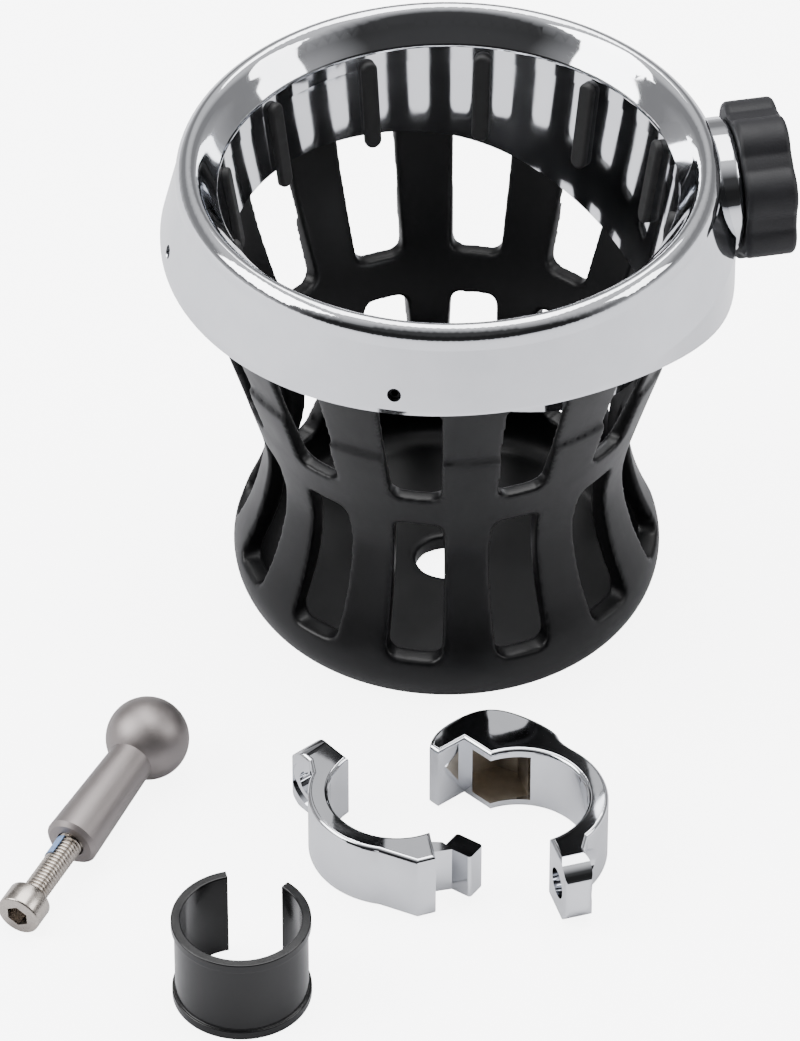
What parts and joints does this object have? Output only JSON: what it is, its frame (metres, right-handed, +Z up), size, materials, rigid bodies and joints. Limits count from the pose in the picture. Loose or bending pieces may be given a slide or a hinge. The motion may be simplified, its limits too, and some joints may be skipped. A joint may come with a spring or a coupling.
{
  "type": "bar-clamp drink holder",
  "caption": "Slotted drink basket hung in a polished ring with a collar nut ball socket, and its loose ball stud, split bar clamp and reducer sleeve.",
  "frame": {"origin": "on the basket's axis, on the plane of its underside", "axes": "+Z up along the basket's axis; the ball socket points to +X, the loose kit lies towards -Y"},
  "size_m": [0.1486, 0.1858, 0.1029],
  "materials": {
    "chrome": "polished",
    "basket_black": "satin",
    "nut_black": "matte",
    "rubber_black": "matte",
    "stud_metal": "bead_blasted",
    "screw_steel": "satin",
    "thread_film": "matte",
    "sleeve_black": "gloss",
    "set_screw_black": "satin"
  },
  "bodies": {
    "holder": {"ring_housing": "chrome", "basket": "basket_black", "grip_finger_01": "rubber_black", "grip_finger_02": "rubber_black", "grip_finger_03": "rubber_black", "grip_finger_04": "rubber_black", "grip_finger_05": "rubber_black", "grip_finger_06": "rubber_black", "grip_finger_07": "rubber_black", "grip_finger_08": "rubber_black", "grip_finger_09": "rubber_black", "grip_finger_10": "rubber_black", "grip_finger_11": "rubber_black", "grip_finger_12": "rubber_black", "basket_screw_1": "set_screw_black", "basket_screw_2": "set_screw_black", "basket_screw_3": "set_screw_black"},
    "collet": {"collet_ring": "nut_black"},
    "nut": {"collar_nut": "nut_black"},
    "stud": {"ball_stud": "stud_metal"},
    "screw_travel_carrier": {"thread_patch": "thread_film"},
    "screw": {"clamp_screw": "screw_steel"},
    "half_a": {"clamp_half_a": "chrome"},
    "half_b": {"clamp_half_b": "chrome"},
    "sleeve": {"reducer_sleeve": "sleeve_black"}
  },
  "joints": [
    {"name": "nut_travel", "type": "slide", "parent": "holder", "child": "collet", "axis": [0.9789, 0.2045, 0], "range_m": [0, 0.0041]},
    {"name": "nut_turn", "type": "hinge", "parent": "collet", "child": "nut", "pos_m": [0.05521, 0.01153, 0.0876], "axis": [0.9789, 0.2045, 0], "range_deg": [0, 720]},
    {"name": "stud_lift", "type": "slide", "parent": "holder", "child": "stud", "axis": [0, 0, 1], "range_m": [0, 0.1]},
    {"name": "screw_travel", "type": "slide", "parent": "stud", "child": "screw_travel_carrier", "axis": [-0.4481, -0.891, -0.0732], "range_m": [-0.0064, 0.0064]},
    {"name": "screw_turn", "type": "hinge", "parent": "screw_travel_carrier", "child": "screw", "pos_m": [-0.07007, -0.08528, 0.00572], "axis": [-0.4481, -0.891, -0.0732], "range_deg": [-2881, 2881]},
    {"name": "half_a_lift", "type": "slide", "parent": "holder", "child": "half_a", "axis": [0, 0, 1], "range_m": [0, 0.1]},
    {"name": "half_b_lift", "type": "slide", "parent": "holder", "child": "half_b", "axis": [0, 0, 1], "range_m": [0, 0.1]},
    {"name": "sleeve_lift", "type": "slide", "parent": "holder", "child": "sleeve", "axis": [0, 0, 1], "range_m": [0, 0.1]}
  ],
  "couplings": [
    {"joint": "nut_travel", "follows": "nut_turn", "m_per_rad": 0.00031831},
    {"joint": "screw_turn", "follows": "screw_travel", "rad_per_m": 7854}
  ]
}
